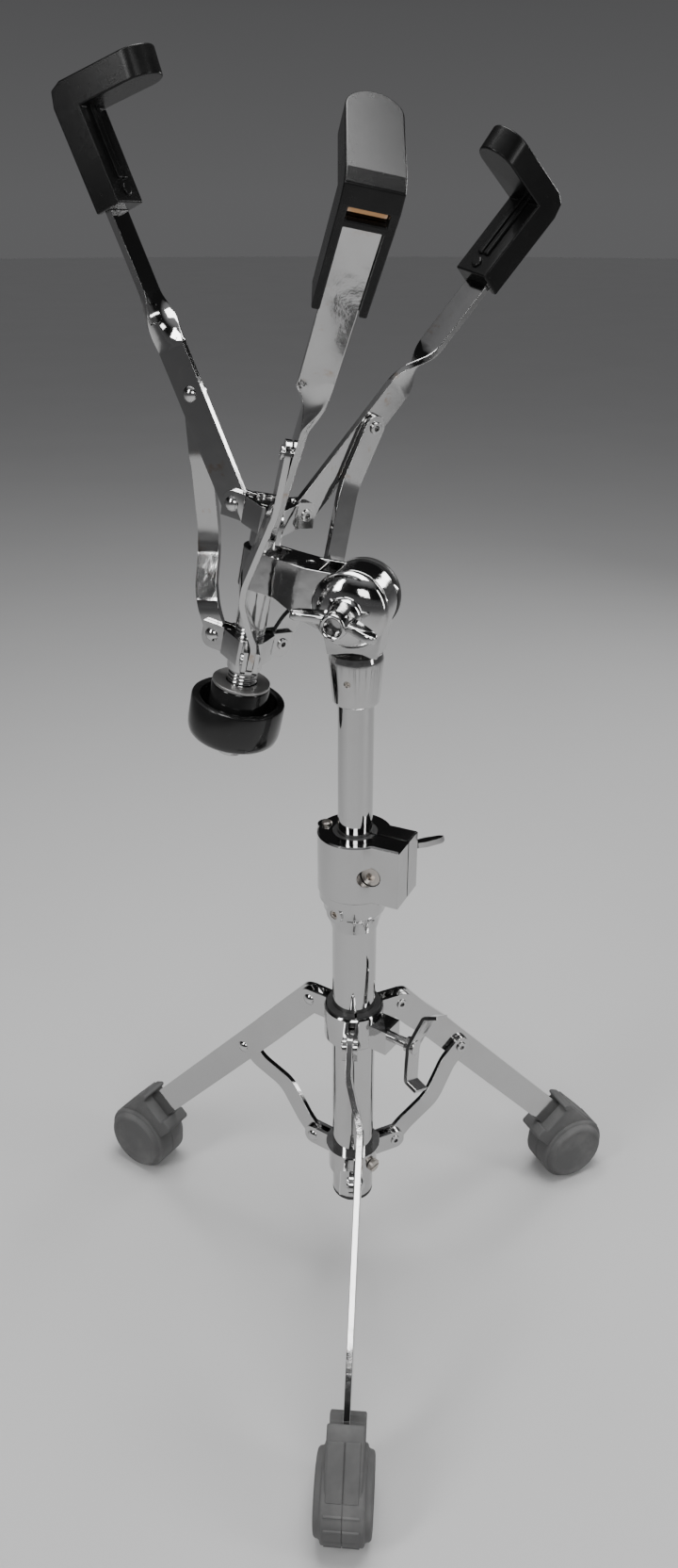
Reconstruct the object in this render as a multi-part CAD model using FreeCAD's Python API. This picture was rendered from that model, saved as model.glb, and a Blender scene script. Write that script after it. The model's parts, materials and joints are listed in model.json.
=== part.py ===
"""Snare drum stand: a folding tripod, a telescoping column and a tilting three-arm basket.

Millimetres, +Z up. The column axis is X = Y = 0, the feet rest on Z = 0 and the front leg points
towards -Y.
"""
import FreeCAD, Part

import math
import os

from FreeCAD import Base

os.makedirs("parts", exist_ok=True)

Vector = Base.Vector
ORIGIN = Vector(0, 0, 0)
X_AXIS = Vector(1, 0, 0)
Y_AXIS = Vector(0, 1, 0)
Z_AXIS = Vector(0, 0, 1)

FIT = 0.05            # radial running fit of a pin, tube or thread
GAP = 0.3             # air between pieces that move past each other

# Column
LOWER_TUBE_R = 12.7
LOWER_TUBE_WALL = 1.6
LOWER_TUBE_BOTTOM = 66.0
LOWER_TUBE_TOP = 291.0
UPPER_TUBE_R = 9.525
UPPER_TUBE_WALL = 1.5
UPPER_TUBE_BOTTOM = 170.0
UPPER_TUBE_TOP = 428.0

# Tripod
LEG_NAMES = ("front", "right", "left")
LEG_AZIMUTH = (-94.5, 25.5, 145.5)
LEG_ANGLE = 41.4          # leg against the column, open
LEG_PIVOT_R = 30.0
LEG_PIVOT_Z = 202.7
LEG_WIDTH = 18.0
LEG_THICK = 3.6
LEG_OFFSET = 8.0          # the leg's lower run stands this far beside its pivot plane
LEG_TO_BRACE = 74.0       # leg pivot to brace rivet
LEG_LENGTH = 212.0
BRACE_PIVOT_R = 28.5
BRACE_PIVOT_Z = 94.3
BRACE_WIDTH = 13.0
BRACE_THICK = 3.0
BRACE_TOP_OFFSET = LEG_OFFSET - LEG_THICK / 2 - GAP - BRACE_THICK / 2
FOLDED_LEG_ANGLE = 3.0    # leg against the column, folded
FOOT_ALONG = 230.3        # leg pivot to the foot's centre, along the leg
FOOT_INSET = 9.0          # the foot's centre lies this far under the leg's centre line
FOOT_R = 24.4             # a little more than the middle's height, which leaves a flat sole
FOOT_DISC_R = 21.3
FOOT_DISC_HALF = 15.5
FOOT_TREAD_HALF = 11.5

# Leg collar
COLLAR_LOW = LEG_PIVOT_Z - 14.0
COLLAR_HIGH = LEG_PIVOT_Z + 8.3
COLLAR_BORE = 15.0
WING_AZIMUTH = -35.0
WING_Z = LEG_PIVOT_Z - 4.7
WING_THREAD_R = 3.0

# Height clamp
CLAMP_BOTTOM = 268.0
CLAMP_WAIST = 292.0
CLAMP_TOP = 328.0
CLAMP_R = 20.8
CLAMP_SLIT_AZIMUTH = -25.0
CLAMP_BOLT_REACH = 15.2
CLAMP_BOLT_Z = 309.0
CLAMP_LINER_R = 12.3
CLAMP_LUG_HALF = 13.5
JAW_ROOM = 1.2            # the wing nut is backed off by this much, so the jaw can swing open
HINGE_X = -17.0
HINGE_R = 5.2
SET_SCREW_AZIMUTH = -129.0
SET_SCREW_Z = CLAMP_BOTTOM + 14.0

# Tilter
BASE_BOTTOM = 404.0
BASE_TOP = 431.0
BASE_SCREW_AZIMUTH = -111.0
BASE_SCREW_Z = 418.0
HEAD_R = 18.6
HEAD_HALF = 8.4
BRACKET_SHEET = 2.4
BRACKET_INSIDE = HEAD_HALF + GAP
BRACKET_OUTSIDE = BRACKET_INSIDE + BRACKET_SHEET
TILT_BOLT_R = 4.0

# Basket
TILT_Z = 457.0
TILT_AZIMUTH = -17.7      # direction from the basket post towards the tilter
BASKET_LEAN = 11.8
POST_REACH = 52.0
POST_R = 8.0
UPPER_HUB_S = 30.6        # heights along the post, from the tilt pivot's level
LOWER_HUB_S = -40.1
HUB_PIVOT_R = 19.4
POST_TOP_S = 36.0
POST_END_S = -104.0
ARM_TURN = (-65.3, 54.7, 174.7)
ARM_ANGLE = 35.7
ARM_WIDTH = 14.5
ARM_THICK = 3.2
ARM_TO_LINK = 54.5
ARM_CORNER = 190.0
LINK_WIDTH = 12.0
LINK_THICK = 3.0
LINK_OFFSET = -(ARM_THICK / 2 + GAP + LINK_THICK / 2)
LINK_BOW = -11.0          # sideways, round the tilter bracket
LINK_OUTWARD = 4.5        # outward bow, in the arm's plane
ARM_OPENS = 26.0          # degrees from rest
ARM_CLOSES = 18.0
HUB_PER_DEGREE = 0.36     # lower hub travel per degree of arm
LINK_SHARE = 0.365        # the link turns this share of the arm's angle
TWIST_START = 76.0
TWIST_END = 104.0
CORNER_BEND = 7.0
GRIP_START = 140.7
GRIP_WIDTH = 21.0
PAD_ANGLE = 95.6          # the padded finger against the arm
PAD_LENGTH = 47.0
PAD_TOP = 5.6
PAD_UNDER = -6.6
STRAP_IN_PAD = 36.0
THREAD_PITCH = 2.0
KNOB_TOP_S = -62.6
KNOB_R = 25.2
KNOB_NUT_R = 12.2

EAR_GAP_LEG = LEG_THICK / 2 + GAP
EAR_GAP_BRACE = BRACE_THICK / 2 + GAP
EAR_GAP_ARM = ARM_THICK / 2 + GAP
EAR_GAP_LINK = LINK_THICK / 2 + GAP
EAR_THICK = 2.2
RIVET_R = 2.4


# ---------------------------------------------------------------- shape helpers

def rod(radius, start, end):
    """A cylinder from one point to another."""
    axis = end - start
    return Part.makeCylinder(radius, axis.Length, start, axis)


def ring(outer, inner, bottom, top):
    return rod(outer, Vector(0, 0, bottom), Vector(0, 0, top)).cut(
        rod(inner, Vector(0, 0, bottom - 1), Vector(0, 0, top + 1)))


def turned(profile):
    """A solid of revolution about Z from a closed outline of (radius, height) points."""
    points = [Vector(r, 0, z) for r, z in profile]
    face = Part.Face(Part.makePolygon(points + points[:1]))
    return face.revolve(ORIGIN, Z_AXIS, 360)


def block(low, high):
    size = [b - a for a, b in zip(low, high)]
    return Part.makeBox(*size, Vector(*low))


def plate(outline, low, high):
    """A plate with an outline in the XZ plane, from Y = low to Y = high."""
    points = [Vector(x, low, z) for x, z in outline]
    face = Part.Face(Part.makePolygon(points + points[:1]))
    return face.extrude(Vector(0, high - low, 0))


def stadium(x_low, x_high, half_width, depth):
    """A plate in the XZ plane with both ends round, standing across the Y axis."""
    body = block((x_low, -depth, -half_width), (x_high, depth, half_width))
    for x in (x_low, x_high):
        body = body.fuse(rod(half_width, Vector(x, -depth, 0), Vector(x, depth, 0)))
    return body.removeSplitter()


def strap(points, bend, thickness, width):
    """A flat bar on edge: its centre line runs through points in the XY plane, with a round bend at
    each corner, and its width is centred on Z."""
    path = [Vector(x, y, 0) for x, y in points]
    runs = [(b - a).normalize() for a, b in zip(path, path[1:])]
    half = thickness / 2
    sides = []
    for side in (1, -1):
        at = path[0] + Vector(-runs[0].y, runs[0].x, 0) * half * side
        first = at
        edges = []
        for corner, before, after in zip(path[1:], runs, runs[1:]):
            turn = math.atan2(before.cross(after).z, before.dot(after))
            sign = math.copysign(1, turn)
            reach = bend * math.tan(abs(turn) / 2)
            normal_before = Vector(-before.y, before.x, 0)
            normal_after = Vector(-after.y, after.x, 0)
            centre = corner - before * reach + normal_before * bend * sign
            start = corner - before * reach + normal_before * half * side
            end = corner + after * reach + normal_after * half * side
            outward = (corner - centre).normalize()
            middle = centre + outward * (bend - side * sign * half)
            edges.append(Part.LineSegment(at, start).toShape())
            edges.append(Part.Arc(start, middle, end).toShape())
            at = end
        last = path[-1] + Vector(-runs[-1].y, runs[-1].x, 0) * half * side
        edges.append(Part.LineSegment(at, last).toShape())
        sides.append((first, last, edges))
    caps = [Part.LineSegment(sides[0][i], sides[1][i]).toShape() for i in (0, 1)]
    wire = Part.Wire(Part.__sortEdges__(sides[0][2] + sides[1][2] + caps))
    face = Part.Face(wire)
    face.translate(Vector(0, 0, -width / 2))
    return face.extrude(Vector(0, 0, width))


def rivet(radius, low, high, head_r=3.7, head_h=1.7):
    """A semi-tubular rivet along Y: a domed head beyond high and a rolled, hollow tail beyond low."""
    dome_r = (head_r ** 2 + head_h ** 2) / (2 * head_h)
    dome = Part.makeSphere(dome_r, Vector(0, high + head_h - dome_r, 0))
    dome = dome.common(block((-9, high, -9), (9, high + 9, 9)))
    tail = rod(head_r - 0.6, Vector(0, low - 1.0, 0), Vector(0, low, 0))
    tail = tail.makeFillet(0.45, [e for e in tail.Edges if abs(e.Vertexes[0].Y - low + 1.0) < 1e-6][:1])
    shank = rod(radius, Vector(0, low, 0), Vector(0, high, 0))
    hollow = rod(radius * 0.6, Vector(0, low - 2, 0), Vector(0, low + 3, 0))
    return shank.fuse([dome, tail]).removeSplitter().cut(hollow)


def hole(radius, x, z, depth=60):
    return rod(radius, Vector(x, -depth, z), Vector(x, depth, z))


def turned_point(x, z, degrees):
    """A point of the XZ plane turned so that an upright vector tips towards +X."""
    angle = math.radians(degrees)
    return x * math.cos(angle) + z * math.sin(angle), z * math.cos(angle) - x * math.sin(angle)


def track_slot(radius, track):
    """A slot cutter, across the Y axis, that holds a pin of the given radius all along its track."""
    cutter = hole(radius, *track[0], 9)
    for (x0, z0), (x1, z1) in zip(track, track[1:]):
        cutter = cutter.fuse(hole(radius, x1, z1, 9))
        run = Vector(x1 - x0, 0, z1 - z0)
        if run.Length > 0.01:
            side = Vector(-run.z, 0, run.x).normalize() * radius
            corners = [(x0 + side.x, z0 + side.z), (x1 + side.x, z1 + side.z),
                       (x1 - side.x, z1 - side.z), (x0 - side.x, z0 - side.z)]
            cutter = cutter.fuse(plate(corners, -9, 9))
    return cutter


def hexagon(corner_r, depth):
    """A hexagonal bar along +Z from the origin."""
    corners = [Vector(corner_r * math.cos(math.radians(60 * i)), corner_r * math.sin(math.radians(60 * i)), 0)
               for i in range(7)]
    return Part.Face(Part.makePolygon(corners)).extrude(Vector(0, 0, depth))


def along_y(shape, start):
    """A shape built along +Z, laid along +Y from a start point."""
    laid = shape.copy()
    laid.rotate(ORIGIN, X_AXIS, -90)
    laid.translate(start)
    return laid


def along_x(shape, start):
    """A shape built along +Z, laid along +X from a start point."""
    laid = shape.copy()
    laid.rotate(ORIGIN, Y_AXIS, 90)
    laid.translate(start)
    return laid


def export(name, shape):
    shape.exportStep(os.path.join("parts", name + ".step"))


def spun(shape, degrees):
    turned_shape = shape.copy()
    turned_shape.rotate(ORIGIN, Z_AXIS, degrees)
    return turned_shape


def ear_pair(gap, outline, pivot, lift):
    """Two clevis ears in the XZ plane, either side of Y = 0, drilled for the rivet at the pivot."""
    ears = []
    for side in (1, -1):
        low, high = sorted((side * gap, side * (gap + EAR_THICK)))
        ears.append(plate(outline, low, high))
    both = Part.Compound(ears)
    both = both.cut(hole(RIVET_R, pivot, lift))
    return both.Solids


def rounded_outline(x_low, x_high, z_low, z_high, low_r, high_r, steps=6):
    """A rectangle in XZ whose two far corners are rounded."""
    points = [(x_low, z_low)]
    if low_r:
        for i in range(steps + 1):
            a = math.radians(-90 + 90 * i / steps)
            points.append((x_high - low_r + low_r * math.cos(a), z_low + low_r + low_r * math.sin(a)))
    else:
        points.append((x_high, z_low))
    if high_r:
        for i in range(steps + 1):
            a = math.radians(90 * i / steps)
            points.append((x_high - high_r + high_r * math.cos(a), z_high - high_r + high_r * math.sin(a)))
    else:
        points.append((x_high, z_high))
    points.append((x_low, z_high))
    return points


def wing_nut(bore, foot_r, tip_r, length, span, rise, wing_thick, root):
    """A wing nut along +Z, seated at Z = 0, with its wings in the XZ plane from the height root."""
    boss = Part.makeCone(foot_r, tip_r, length)
    flange = Part.makeCylinder(foot_r + 1.2, 1.6)
    body = boss.fuse(flange)
    for side in (1, -1):
        outline = [(0, root), (side * foot_r, root), (side * span * 0.72, rise * 0.55),
                   (side * span, rise * 0.8), (side * span * 1.02, rise * 0.98), (side * span * 0.9, rise),
                   (side * span * 0.6, rise * 0.86), (side * tip_r, length * 0.8), (0, length * 0.8)]
        body = body.fuse(plate(outline, -wing_thick / 2, wing_thick / 2))
    return body.cut(Part.makeCylinder(bore, length * 3, Vector(0, 0, -length)))


# ---------------------------------------------------------------- frames of reference

def on_leg(shape, azimuth):
    """From leg space (X along the leg, Y across it) to its place on the tripod."""
    placed = shape.copy()
    placed.rotate(ORIGIN, Y_AXIS, 90 - LEG_ANGLE)
    placed.translate(Vector(LEG_PIVOT_R, 0, LEG_PIVOT_Z))
    placed.rotate(ORIGIN, Z_AXIS, azimuth)
    return placed


def in_plane(shape, x, z, azimuth):
    placed = shape.copy()
    placed.translate(Vector(x, 0, z))
    placed.rotate(ORIGIN, Z_AXIS, azimuth)
    return placed


def on_tilt(shape):
    """From tilter space (X from the post to the tilter, Y away along the tilt axis) to the stand."""
    placed = shape.copy()
    placed.rotate(ORIGIN, Z_AXIS, TILT_AZIMUTH)
    placed.translate(Vector(0, 0, TILT_Z))
    return placed


def on_basket(shape):
    """From basket space (Z up the post, origin on the post at the tilt pivot's level) to the stand."""
    placed = shape.copy()
    placed.translate(Vector(-POST_REACH, 0, 0))
    placed.rotate(ORIGIN, Y_AXIS, BASKET_LEAN)
    return on_tilt(placed)


# ---------------------------------------------------------------- column

def lower_tube():
    return ring(LOWER_TUBE_R, LOWER_TUBE_R - LOWER_TUBE_WALL, LOWER_TUBE_BOTTOM, LOWER_TUBE_TOP)


def lower_tube_end_plug():
    inner = LOWER_TUBE_R - LOWER_TUBE_WALL
    end = LOWER_TUBE_BOTTOM
    return turned([(0, end - 3), (LOWER_TUBE_R - 0.8, end - 3), (LOWER_TUBE_R, end - 2.2),
                   (LOWER_TUBE_R, end), (inner, end), (inner - 0.6, end + 9), (0, end + 9)])


def brace_hub():
    """A pressed ring with a lip and three clevises for the braces."""
    low, high = BRACE_PIVOT_Z - 10, BRACE_PIVOT_Z + 8.7
    body = turned([(LOWER_TUBE_R, low), (15.2, low), (15.2, high - 2.4), (16.8, high - 1.2),
                   (16.8, high), (LOWER_TUBE_R, high)])
    outline = rounded_outline(14.0, BRACE_PIVOT_R + 6.2, BRACE_PIVOT_Z - 6.5, BRACE_PIVOT_Z + 6.5, 5.5, 5.5)
    for azimuth in LEG_AZIMUTH:
        for ear in ear_pair(EAR_GAP_BRACE, outline, BRACE_PIVOT_R, BRACE_PIVOT_Z):
            body = body.fuse(spun(ear, azimuth))
    screw_axis = spun(rod(2.0, Vector(10, 0, BRACE_PIVOT_Z - 2), Vector(20, 0, BRACE_PIVOT_Z - 2)), -40)
    return body.cut(screw_axis).cut(rod(LOWER_TUBE_R, Vector(0, 0, 60), Vector(0, 0, 140)))


def brace_hub_screw():
    """A slotted screw that pins the brace hub to the tube."""
    z = BRACE_PIVOT_Z - 2
    body = rod(2.0, Vector(LOWER_TUBE_R, 0, z), Vector(15.4, 0, z))
    head = rod(4.0, Vector(15.4, 0, z), Vector(18.2, 0, z))
    slot = block((17.2, -5, z - 0.5), (19, 5, z + 0.5))
    return spun(body.fuse(head).cut(slot), -40)


def hub_rivets(gap, pivot, lift, place):
    reach = gap + EAR_THICK
    return [place(rivet(RIVET_R, -reach, reach), pivot, lift, azimuth) for azimuth in LEG_AZIMUTH]


# ---------------------------------------------------------------- leg collar

def leg_hub():
    """The cast collar: a ring, three clevises and a boss for the wing bolt."""
    body = turned([(COLLAR_BORE, COLLAR_LOW), (16.8, COLLAR_LOW), (17.6, COLLAR_LOW + 1),
                   (17.6, COLLAR_HIGH - 1), (16.8, COLLAR_HIGH), (COLLAR_BORE, COLLAR_HIGH)])
    outline = rounded_outline(16.0, LEG_PIVOT_R + 6.8, LEG_PIVOT_Z - 8.5, LEG_PIVOT_Z + 7.0, 6.5, 6.0)
    for azimuth in LEG_AZIMUTH:
        for ear in ear_pair(EAR_GAP_LEG, outline, LEG_PIVOT_R, LEG_PIVOT_Z):
            body = body.fuse(spun(ear, azimuth))
    boss = block((10, -7.5, WING_Z - 8.5), (27.5, 7.5, WING_Z + 7.5))
    body = body.fuse(spun(boss, WING_AZIMUTH))
    window = block((18.8, -5.0, WING_Z - 9), (23.2, 5.0, WING_Z + 5.0))
    thread = rod(WING_THREAD_R + FIT, Vector(12, 0, WING_Z), Vector(40, 0, WING_Z))
    body = body.cut(spun(window, WING_AZIMUTH)).cut(spun(thread, WING_AZIMUTH))
    return body.cut(rod(COLLAR_BORE, Vector(0, 0, COLLAR_LOW - 9), Vector(0, 0, COLLAR_HIGH + 9)))


def leg_hub_liner():
    """The split nylon sleeve between the collar and the tube."""
    sleeve = turned([(LOWER_TUBE_R + FIT, COLLAR_LOW - 1.0), (15.0, COLLAR_LOW - 1.0), (15.0, COLLAR_HIGH),
                     (16.0, COLLAR_HIGH), (16.0, COLLAR_HIGH + 1.4), (LOWER_TUBE_R + FIT, COLLAR_HIGH + 1.4)])
    slit = block((11, -0.7, COLLAR_LOW - 2), (20, 0.7, COLLAR_HIGH + 3))
    bolt_way = rod(WING_THREAD_R + 0.2, Vector(12, 0, WING_Z), Vector(20, 0, WING_Z))
    return sleeve.cut(spun(slit, -86)).cut(spun(bolt_way, WING_AZIMUTH))


def leg_hub_nut():
    nut = block((18.8, -5.0, WING_Z - 5.0), (23.2, 5.0, WING_Z + 5.0))
    nut = nut.cut(rod(WING_THREAD_R + FIT, Vector(15, 0, WING_Z), Vector(30, 0, WING_Z)))
    return spun(nut, WING_AZIMUTH)


def leg_wing_bolt():
    """A threaded stem with a stamped T wing, in its own space: X outward along the stem."""
    stem = rod(WING_THREAD_R, Vector(LOWER_TUBE_R + 0.4, 0, 0), Vector(38.5, 0, 0))
    neck = rod(4.6, Vector(37.5, 0, 0), Vector(44.0, 0, 0))
    half = 7.0
    wing = [(54, -22), (46, -19), (43.5, -9), (41.5, 0), (43.5, 9), (46, 19), (54, 22)]
    sheet = strap(wing, 2.6, 2.2, half * 2)
    trim = stadium(36.0, 56.0, half, 60)
    body = stem.fuse([neck, sheet.common(trim)])
    body.rotate(ORIGIN, X_AXIS, 62)
    body.translate(Vector(0, 0, WING_Z))
    return spun(body, WING_AZIMUTH)


# ---------------------------------------------------------------- legs, braces and feet

def leg():
    """A flat strap that steps sideways below its pivot so that it folds past the brace."""
    path = [(-LEG_WIDTH / 2, 0), (18, 0), (46, LEG_OFFSET), (LEG_LENGTH, LEG_OFFSET)]
    bar = strap(path, 26, LEG_THICK, LEG_WIDTH)
    bar = bar.common(stadium(0, LEG_LENGTH - LEG_WIDTH / 2, LEG_WIDTH / 2, 20))
    bar = bar.cut(block((-20, -9, -20), (-7.0, 9, 20))).cut(leg_slot())
    return bar.cut(hole(RIVET_R, LEG_TO_BRACE, 0))


def leg_slot():
    """The pivot hole, drawn out where the collar's straight travel leaves the leg's true arc."""
    mid_x, mid_z = leg_mid()
    open_brace = math.degrees(math.atan2(mid_x - BRACE_PIVOT_R, mid_z - BRACE_PIVOT_Z))
    reach = LEG_PIVOT_R - BRACE_PIVOT_R + LEG_TO_BRACE * math.sin(math.radians(FOLDED_LEG_ANGLE))
    folded_brace = math.degrees(math.asin(reach / brace_length()))
    travel = brace_length() * math.cos(math.radians(folded_brace)) - (LEG_PIVOT_Z - BRACE_PIVOT_Z)
    travel += LEG_TO_BRACE * math.cos(math.radians(FOLDED_LEG_ANGLE))
    track = []
    for i in range(9):
        share = i / 8
        brace_turn = share * (folded_brace - open_brace)
        leg_turn = share * (LEG_ANGLE - FOLDED_LEG_ANGLE)
        x, z = turned_point(mid_x - BRACE_PIVOT_R, mid_z - BRACE_PIVOT_Z, brace_turn)
        x, z = turned_point(LEG_PIVOT_R - BRACE_PIVOT_R - x, LEG_PIVOT_Z + share * travel - BRACE_PIVOT_Z - z,
                            -leg_turn - (90 - LEG_ANGLE))
        track.append((x + LEG_TO_BRACE, z))
    return track_slot(RIVET_R + GAP, track)


def foot():
    """A rubber foot: a wheel-like body with raised side discs and a ribbed tread, under a block with a
    pocket for the leg. The wheel's middle is at (FOOT_ALONG, LEG_OFFSET, -FOOT_INSET) in leg space."""
    centre = Vector(FOOT_ALONG, LEG_OFFSET, -FOOT_INSET)
    across = Vector(0, 1, 0)
    tread = rod(FOOT_R, centre - across * FOOT_TREAD_HALF, centre + across * FOOT_TREAD_HALF)
    for side in (1, -1):
        disc = rod(FOOT_DISC_R, centre, centre + across * FOOT_DISC_HALF * side)
        disc = disc.makeChamfer(1.6, [e for e in disc.Edges if abs(e.BoundBox.YLength) < 1e-6
                                      and abs(e.BoundBox.Center.y - centre.y) > 1])
        tread = tread.fuse(disc)
    block_back = FOOT_ALONG - 38.0
    neck = block((block_back, LEG_OFFSET - 10, -18.5), (FOOT_ALONG, LEG_OFFSET + 10, 15.5))
    neck = neck.makeChamfer(1.5, [e for e in neck.Edges if abs(e.BoundBox.Center.x - block_back) < 0.01])
    body = tread.fuse(neck)
    pocket = block((block_back - 1, LEG_OFFSET - LEG_THICK / 2, -LEG_WIDTH / 2),
                   (LEG_LENGTH, LEG_OFFSET + LEG_THICK / 2, LEG_WIDTH / 2))
    return body.cut(pocket)


def flat_sole(placed_foot):
    """Trims the tread to the floor plane, so that the foot rests on a narrow flat."""
    return placed_foot.cut(block((-300, -300, -40), (300, 300, 0)))


def brace():
    """A flat strap from the brace hub to the leg, bowed sideways to clear the leg's step when folded.
    Its own space has X along the line of its rivets, from the hub."""
    length = brace_length()
    bar = strap([(-8, 0), (12, 0), (length * 0.5, -3.4), (length - 13, BRACE_TOP_OFFSET),
                 (length + 8, BRACE_TOP_OFFSET)], 26, BRACE_THICK, BRACE_WIDTH)
    bar = bar.common(stadium(0, length, BRACE_WIDTH / 2, 20))
    bar = bar.cut(hole(RIVET_R + FIT, 0, 0))
    return bar.cut(hole(RIVET_R + FIT, length, 0))


def leg_mid():
    angle = math.radians(LEG_ANGLE)
    return (LEG_PIVOT_R + LEG_TO_BRACE * math.sin(angle), LEG_PIVOT_Z - LEG_TO_BRACE * math.cos(angle))


def brace_length():
    x, z = leg_mid()
    return math.hypot(x - BRACE_PIVOT_R, z - BRACE_PIVOT_Z)


def on_brace(shape, azimuth):
    x, z = leg_mid()
    rise = math.degrees(math.atan2(z - BRACE_PIVOT_Z, x - BRACE_PIVOT_R))
    placed = shape.copy()
    placed.rotate(ORIGIN, Y_AXIS, -rise)
    return in_plane(placed, BRACE_PIVOT_R, BRACE_PIVOT_Z, azimuth)


def leg_rivet():
    low = BRACE_TOP_OFFSET - BRACE_THICK / 2 - GAP
    pin = rivet(RIVET_R, low, LEG_OFFSET + LEG_THICK / 2, head_r=3.9, head_h=1.9)
    pin.translate(Vector(LEG_TO_BRACE, 0, 0))
    return pin


# ---------------------------------------------------------------- height clamp

def clamp_frame(shape):
    """From clamp space (X towards the slit) to the stand."""
    return spun(shape, CLAMP_SLIT_AZIMUTH)


def clamp_block():
    """The ring and lug before it is split into body and jaw."""
    ring_part = rod(CLAMP_R, Vector(0, 0, CLAMP_WAIST), Vector(0, 0, CLAMP_TOP))
    lug = block((0, -CLAMP_LUG_HALF, CLAMP_WAIST), (31.5, CLAMP_LUG_HALF, CLAMP_TOP))
    hinge_boss = rod(HINGE_R, Vector(HINGE_X, 0, CLAMP_WAIST), Vector(HINGE_X, 0, CLAMP_TOP))
    whole = ring_part.fuse([lug, hinge_boss]).removeSplitter()
    top_edges = [e for e in whole.Edges if e.BoundBox.ZLength < 1e-6]
    whole = whole.makeChamfer(0.9, top_edges)
    return whole.cut(rod(CLAMP_LINER_R, Vector(0, 0, 200), Vector(0, 0, 400)))


def front_half():
    return block((-60, -60, 0), (60, -0.5, 900))


def clamp_body():
    """The front half of the clamp, in one casting with the tapered sleeve that caps the lower tube."""
    half = clamp_block().common(front_half())
    half = half.fuse(hinge_knuckle(True))
    half = half.cut(hinge_knuckle(False, GAP))
    sleeve = turned([(0, CLAMP_BOTTOM), (13.6, CLAMP_BOTTOM), (15.6, CLAMP_BOTTOM + 9),
                     (17.4, CLAMP_BOTTOM + 12), (17.4, CLAMP_WAIST), (0, CLAMP_WAIST)])
    collar = ring(CLAMP_R - 0.9, CLAMP_LINER_R, CLAMP_WAIST - 5, CLAMP_WAIST + 0.2).common(front_half())
    body = half.fuse([sleeve, collar])
    body = body.cut(bolt_way(3.1, -60, 60)).cut(bolt_way(5.9, -60, -9.6)).cut(hinge_pin_hole())
    boss = set_screw_frame(rod(5.2, Vector(12, 0, 0), Vector(18.6, 0, 0)), CLAMP_SLIT_AZIMUTH)
    body = body.fuse(boss)
    body = body.cut(rod(LOWER_TUBE_R, Vector(0, 0, CLAMP_BOTTOM - 9), Vector(0, 0, LOWER_TUBE_TOP)))
    body = body.cut(rod(CLAMP_LINER_R, Vector(0, 0, CLAMP_BOTTOM + 20), Vector(0, 0, 400)))
    drill = set_screw_frame(rod(2.6, Vector(10, 0, 0), Vector(30, 0, 0)), CLAMP_SLIT_AZIMUTH)
    return clamp_frame(body.cut(drill))


def set_screw_frame(shape, base=0.0):
    placed = shape.copy()
    placed.translate(Vector(0, 0, SET_SCREW_Z))
    return spun(placed, SET_SCREW_AZIMUTH - base)


def bolt_way(radius, low, high):
    """A cutter along the clamp bolt's axis."""
    return rod(radius, Vector(CLAMP_BOLT_REACH, low, CLAMP_BOLT_Z),
               Vector(CLAMP_BOLT_REACH, high, CLAMP_BOLT_Z))


def hinge_knuckle(middle, room=0.0):
    """One share of the hinge barrel: the middle third or the two ends."""
    third = (CLAMP_TOP - CLAMP_WAIST) / 3
    spans = [(CLAMP_WAIST + third, CLAMP_TOP - third)] if middle else \
        [(CLAMP_WAIST - 0.1, CLAMP_WAIST + third - GAP / 2), (CLAMP_TOP - third + GAP / 2, CLAMP_TOP + 0.1)]
    parts = []
    for low, high in spans:
        if room:
            low, high = low - 1.0, high + GAP / 2
        parts.append(rod(HINGE_R + room, Vector(HINGE_X, 0, low), Vector(HINGE_X, 0, high)))
    whole = Part.Compound(parts)
    return whole.cut(rod(CLAMP_LINER_R, Vector(0, 0, 200), Vector(0, 0, 400)))


def hinge_pin_hole():
    return rod(1.8 + FIT, Vector(HINGE_X, 0, CLAMP_WAIST - 9), Vector(HINGE_X, 0, CLAMP_TOP + 9))


def clamp_jaw():
    """The swinging half of the clamp."""
    half = clamp_block().common(block((-60, 0.5, CLAMP_WAIST + GAP), (60, 60, CLAMP_TOP + 1)))
    third = (CLAMP_TOP - CLAMP_WAIST) / 3
    low_end, high_end = CLAMP_WAIST + third - GAP / 2, CLAMP_TOP - third + GAP / 2
    half = half.cut(rod(HINGE_R + GAP, Vector(HINGE_X, 0, low_end), Vector(HINGE_X, 0, high_end)))
    for low, high in ((CLAMP_WAIST + GAP, low_end), (high_end, CLAMP_TOP)):
        half = half.fuse(rod(HINGE_R, Vector(HINGE_X, 0, low), Vector(HINGE_X, 0, high)))
    half = half.cut(rod(CLAMP_LINER_R + 2 * FIT, Vector(0, 0, 200), Vector(0, 0, 400)))
    seat = bolt_way(9.6, CLAMP_LUG_HALF, 60)
    return clamp_frame(half.cut(bolt_way(4.2, -60, 60)).cut(seat).cut(hinge_pin_hole()))


def clamp_hinge_pin():
    pin = rod(1.8, Vector(HINGE_X, 0, CLAMP_WAIST), Vector(HINGE_X, 0, CLAMP_TOP + 0.6))
    head = turned([(0, 0), (2.9, 0), (2.9, 0.5), (2.2, 1.1), (0, 1.1)])
    head.translate(Vector(HINGE_X, 0, CLAMP_TOP + 0.3))
    return clamp_frame(pin.fuse(head))


def clamp_bolt():
    """A socket-head bolt across the clamp's slit, running back through the wing nut."""
    start = Vector(CLAMP_BOLT_REACH, -13.2, CLAMP_BOLT_Z)
    head = rod(5.4, start, start + Vector(0, 3.6, 0))
    shank = rod(3.0, start, Vector(CLAMP_BOLT_REACH, 29.0, CLAMP_BOLT_Z))
    socket = along_y(hexagon(2.6, 3.6), start - Vector(0, 1, 0))
    return clamp_frame(head.fuse(shank).cut(socket))


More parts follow.
